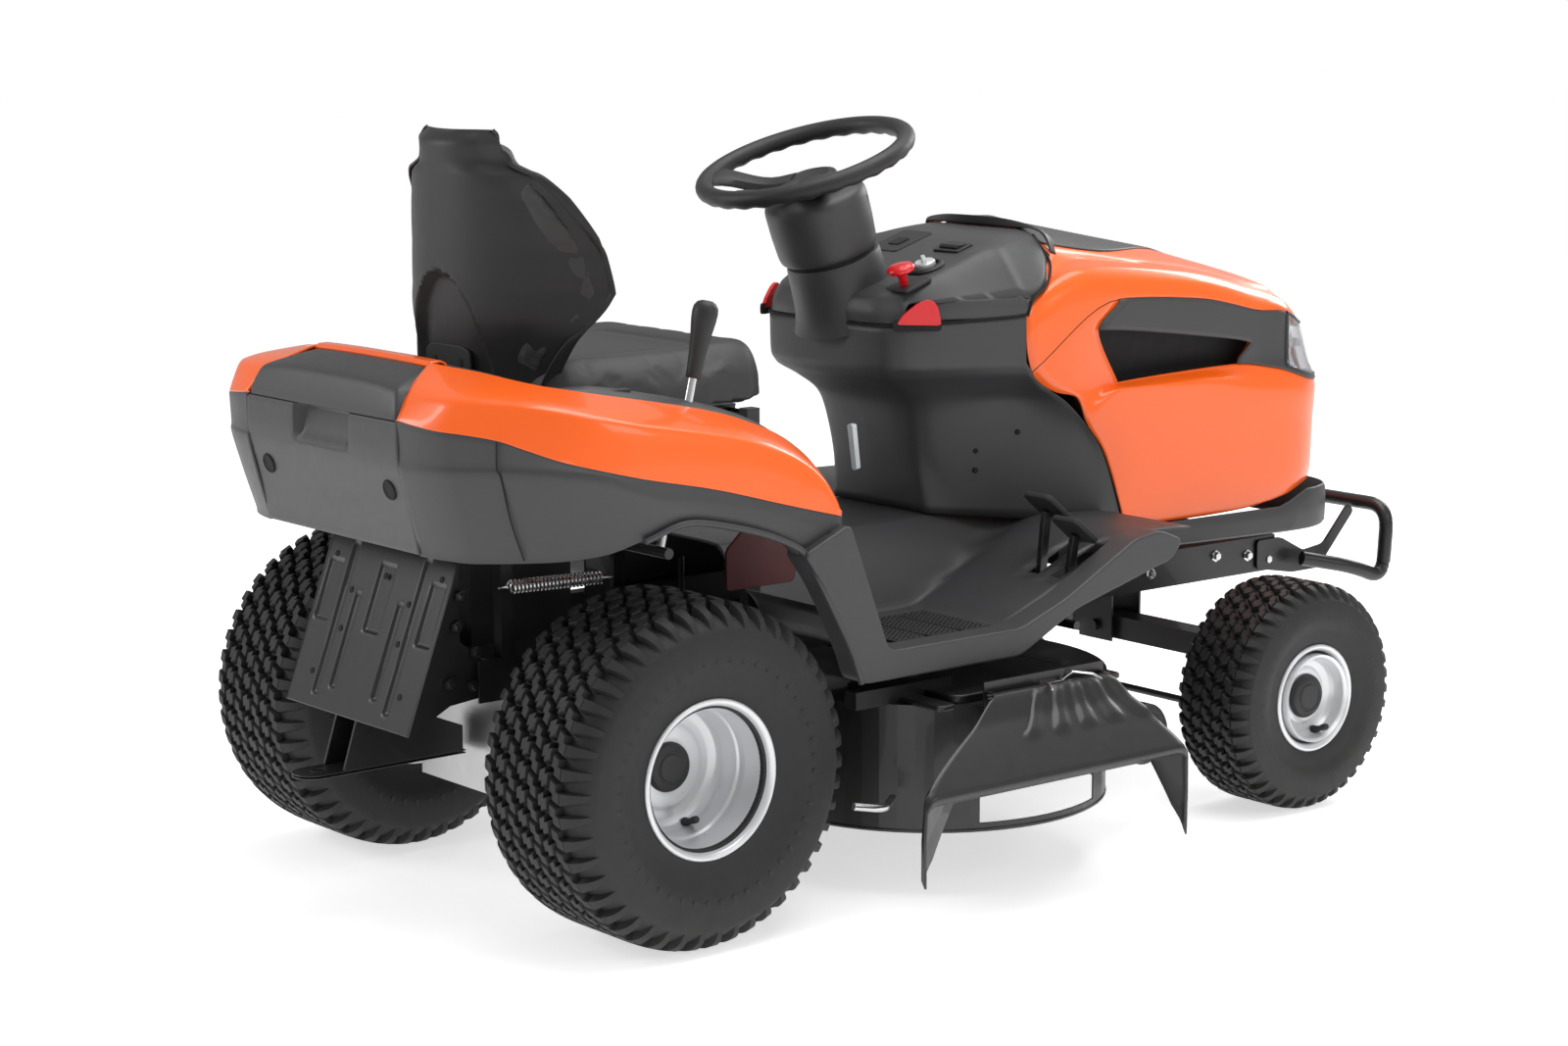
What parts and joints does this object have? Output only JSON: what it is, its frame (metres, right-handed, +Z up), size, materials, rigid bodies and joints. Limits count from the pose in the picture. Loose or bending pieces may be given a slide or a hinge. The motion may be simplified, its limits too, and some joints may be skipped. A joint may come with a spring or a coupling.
{
  "type": "lawn tractor",
  "caption": "Lawn tractor with steering wheel, tilting hood, sprung pedals and a belt-driven side-discharge mowing deck that rises and falls with its lift lever.",
  "frame": {"origin": "centre of the underside of the bounding box, on the ground plane", "axes": "+X forward along the machine, +Y to the driver's left, +Z up"},
  "size_m": [2.102, 1.195, 1.158],
  "materials": {
    "orange_paint": "gloss",
    "black_paint": "satin",
    "dark_plastic": "satin",
    "black_plastic": "matte",
    "aluminium": "cast",
    "engine_metal": "matte",
    "tank_plastic": "translucent",
    "mat_rubber": "matte",
    "lamp_glass": "clear",
    "red_plastic": "gloss",
    "steel": "satin",
    "rim_paint": "satin silver",
    "tyre": "matte",
    "seat_vinyl": "grained",
    "belt_rubber": "matte"
  },
  "bodies": {
    "chassis": {"frame": "black_paint", "rear_plate": "black_paint", "bumper": "black_paint", "transaxle": "aluminium", "engine": "engine_metal", "fuel_tank": "tank_plastic", "battery": "black_plastic", "fender_shell": "orange_paint", "fender_skirt": "dark_plastic", "fender_trim": "dark_plastic", "footrest": "dark_plastic", "foot_mats": "mat_rubber", "console_lower": "dark_plastic", "console_upper": "dark_plastic", "column_shroud": "dark_plastic", "front_valance": "dark_plastic"},
    "hood": {"hood_shell": "orange_paint", "hood_cover": "dark_plastic", "vent_trim": "dark_plastic", "headlamps": "lamp_glass"},
    "rear_lid": {"rear_lid": "dark_plastic"},
    "latch_right": {"latch_right": "red_plastic"},
    "latch_left": {"latch_left": "red_plastic"},
    "steering": {"steering_shaft": "steel", "steering_wheel": "black_plastic"},
    "front_axle": {"front_axle": "black_paint"},
    "knuckle_left": {"knuckle_left": "black_paint"},
    "knuckle_right": {"knuckle_right": "black_paint"},
    "tie_rod": {"tie_rod": "black_paint"},
    "pto_knob": {"pto_knob": "red_plastic"},
    "ignition_knob": {"ignition_knob": "steel"},
    "light_switch": {"light_switch": "black_plastic"},
    "throttle_lever": {"throttle_lever": "black_plastic"},
    "lift_lever": {"lift_lever": "black_plastic"},
    "seat_pan": {"seat_pan": "black_paint"},
    "seat": {"seat_shell": "black_plastic", "seat_cushion": "seat_vinyl", "seat_backrest": "seat_vinyl"},
    "pedal_forward": {"pedal_forward": "black_plastic"},
    "pedal_reverse": {"pedal_reverse": "black_plastic"},
    "pedal_brake": {"pedal_brake": "black_plastic"},
    "deck": {"deck_shell": "black_paint", "deck_belt": "belt_rubber"},
    "deflector": {"deflector": "black_plastic"},
    "blade_left": {"blade_left": "steel"},
    "blade_right": {"blade_right": "steel"},
    "gauge_wheel_left": {"gauge_wheel_left": "black_plastic"},
    "gauge_wheel_right": {"gauge_wheel_right": "black_plastic"},
    "wheel_rear_left": {"tyre_rear_left": "tyre", "rim_rear_left": "rim_paint", "hub_cap_rear_left": "black_plastic"},
    "wheel_rear_right": {"tyre_rear_right": "tyre", "rim_rear_right": "rim_paint", "hub_cap_rear_right": "black_plastic"},
    "wheel_front_left": {"tyre_front_left": "tyre", "rim_front_left": "rim_paint", "hub_cap_front_left": "black_plastic"},
    "wheel_front_right": {"tyre_front_right": "tyre", "rim_front_right": "rim_paint", "hub_cap_front_right": "black_plastic"}
  },
  "joints": [
    {"name": "hood_tilt", "type": "hinge", "parent": "chassis", "child": "hood", "pos_m": [0.94395, 0.0525, 0.497], "axis": [0, 1, 0], "range_deg": [0, 60]},
    {"name": "rear_lid_hinge", "type": "hinge", "parent": "chassis", "child": "rear_lid", "pos_m": [-0.90205, 0.0525, 0.838], "axis": [0, 1, 0], "range_deg": [0, 80]},
    {"name": "latch_right_pull", "type": "slide", "parent": "chassis", "child": "latch_right", "axis": [-0.4478, -0.8942, 0], "range_m": [0, 0.008]},
    {"name": "latch_left_pull", "type": "slide", "parent": "chassis", "child": "latch_left", "axis": [-0.4478, 0.8942, 0], "range_m": [0, 0.008]},
    {"name": "steering_turn", "type": "hinge", "parent": "chassis", "child": "steering", "pos_m": [-0.08705, 0.0525, 1.081], "axis": [-0.3206, 0, 0.9472], "range_deg": [-120, 120]},
    {"name": "front_axle_rock", "type": "hinge", "parent": "chassis", "child": "front_axle", "pos_m": [0.60995, 0.0525, 0.2445], "axis": [1, 0, 0], "range_deg": [-5, 5]},
    {"name": "knuckle_left_turn", "type": "hinge", "parent": "front_axle", "child": "knuckle_left", "pos_m": [0.60995, 0.3525, 0], "axis": [0, 0, 1], "range_deg": [-30, 30]},
    {"name": "knuckle_right_turn", "type": "hinge", "parent": "front_axle", "child": "knuckle_right", "pos_m": [0.60995, -0.2475, 0], "axis": [0, 0, 1], "range_deg": [-30, 30]},
    {"name": "tie_rod_pivot", "type": "hinge", "parent": "knuckle_left", "child": "tie_rod", "pos_m": [0.50995, 0.3525, 0.166], "axis": [0, 0, 1], "range_deg": [-30, 30]},
    {"name": "wheel_front_left_spin", "type": "hinge", "parent": "knuckle_left", "child": "wheel_front_left", "pos_m": [0.60995, 0.4655, 0.1905], "axis": [0, 1, 0], "continuous": true},
    {"name": "wheel_rear_left_spin", "type": "hinge", "parent": "chassis", "child": "wheel_rear_left", "pos_m": [-0.65905, 0.4285, 0.254], "axis": [0, 1, 0], "continuous": true},
    {"name": "wheel_front_right_spin", "type": "hinge", "parent": "knuckle_right", "child": "wheel_front_right", "pos_m": [0.60995, -0.3605, 0.1905], "axis": [0, 1, 0], "continuous": true},
    {"name": "wheel_rear_right_spin", "type": "hinge", "parent": "chassis", "child": "wheel_rear_right", "pos_m": [-0.65905, -0.3235, 0.254], "axis": [0, 1, 0], "continuous": true},
    {"name": "lift_lever_swing", "type": "hinge", "parent": "chassis", "child": "lift_lever", "pos_m": [-0.63905, -0.2875, 0.56], "axis": [0, 1, 0], "range_deg": [0, 35]},
    {"name": "deck_lift", "type": "slide", "parent": "chassis", "child": "deck", "axis": [0, 0, 1], "range_m": [-0.075, 0]},
    {"name": "blade_left_spin", "type": "hinge", "parent": "deck", "child": "blade_left", "pos_m": [-0.06805, 0.3145, 0], "axis": [0, 0, 1], "continuous": true},
    {"name": "blade_right_spin", "type": "hinge", "parent": "deck", "child": "blade_right", "pos_m": [-0.04205, -0.2095, 0], "axis": [0, 0, 1], "continuous": true},
    {"name": "gauge_wheel_left_spin", "type": "hinge", "parent": "deck", "child": "gauge_wheel_left", "pos_m": [0.27595, 0.4605, 0.168], "axis": [0, 1, 0], "continuous": true},
    {"name": "gauge_wheel_right_spin", "type": "hinge", "parent": "deck", "child": "gauge_wheel_right", "pos_m": [0.27595, -0.3555, 0.168], "axis": [0, 1, 0], "continuous": true},
    {"name": "deflector_swing", "type": "hinge", "parent": "deck", "child": "deflector", "pos_m": [-0.05505, -0.4885, 0.316], "axis": [-1, 0, 0], "range_deg": [0, 60], "stiffness_Nm_per_rad": 4, "springref_deg": -22.92},
    {"name": "pedal_forward_press", "type": "hinge", "parent": "chassis", "child": "pedal_forward", "pos_m": [0.12095, -0.2795, 0.366], "axis": [0, 1, 0], "range_deg": [0, 15], "stiffness_Nm_per_rad": 6, "springref_deg": -14.32},
    {"name": "pedal_reverse_press", "type": "hinge", "parent": "chassis", "child": "pedal_reverse", "pos_m": [0.12095, -0.3435, 0.366], "axis": [0, 1, 0], "range_deg": [0, 12], "stiffness_Nm_per_rad": 6, "springref_deg": -14.32},
    {"name": "pedal_brake_press", "type": "hinge", "parent": "chassis", "child": "pedal_brake", "pos_m": [0.12095, 0.3925, 0.366], "axis": [0, 1, 0], "range_deg": [0, 18], "stiffness_Nm_per_rad": 6, "springref_deg": -14.32},
    {"name": "seat_tilt", "type": "hinge", "parent": "chassis", "child": "seat_pan", "pos_m": [-0.34105, 0.0525, 0.716], "axis": [0, 1, 0], "range_deg": [0, 60]},
    {"name": "seat_slide", "type": "slide", "parent": "seat_pan", "child": "seat", "axis": [1, 0, 0], "range_m": [-0.04, 0.04]},
    {"name": "pto_pull", "type": "slide", "parent": "chassis", "child": "pto_knob", "axis": [-0.3039, 0, 0.9527], "range_m": [0, 0.018]},
    {"name": "ignition_turn", "type": "hinge", "parent": "chassis", "child": "ignition_knob", "pos_m": [0.07595, -0.0595, 0.91332], "axis": [-0.3039, 0, 0.9527], "range_deg": [0, 100]},
    {"name": "light_switch_rock", "type": "hinge", "parent": "chassis", "child": "light_switch", "pos_m": [0.15595, -0.0325, 0.93884], "axis": [0, 1, 0], "range_deg": [-8, 8]},
    {"name": "throttle_swing", "type": "hinge", "parent": "chassis", "child": "throttle_lever", "pos_m": [0.08507, 0.1645, 0.88474], "axis": [0, 1, 0], "range_deg": [-20, 20]}
  ],
  "couplings": [
    {"joint": "knuckle_left_turn", "follows": "steering_turn", "ratio": 0.25},
    {"joint": "knuckle_right_turn", "follows": "steering_turn", "ratio": 0.25},
    {"joint": "tie_rod_pivot", "follows": "steering_turn", "ratio": -0.25},
    {"joint": "lift_lever_swing", "follows": "deck_lift", "rad_per_m": -8.14},
    {"joint": "blade_right_spin", "follows": "blade_left_spin", "ratio": 1}
  ]
}
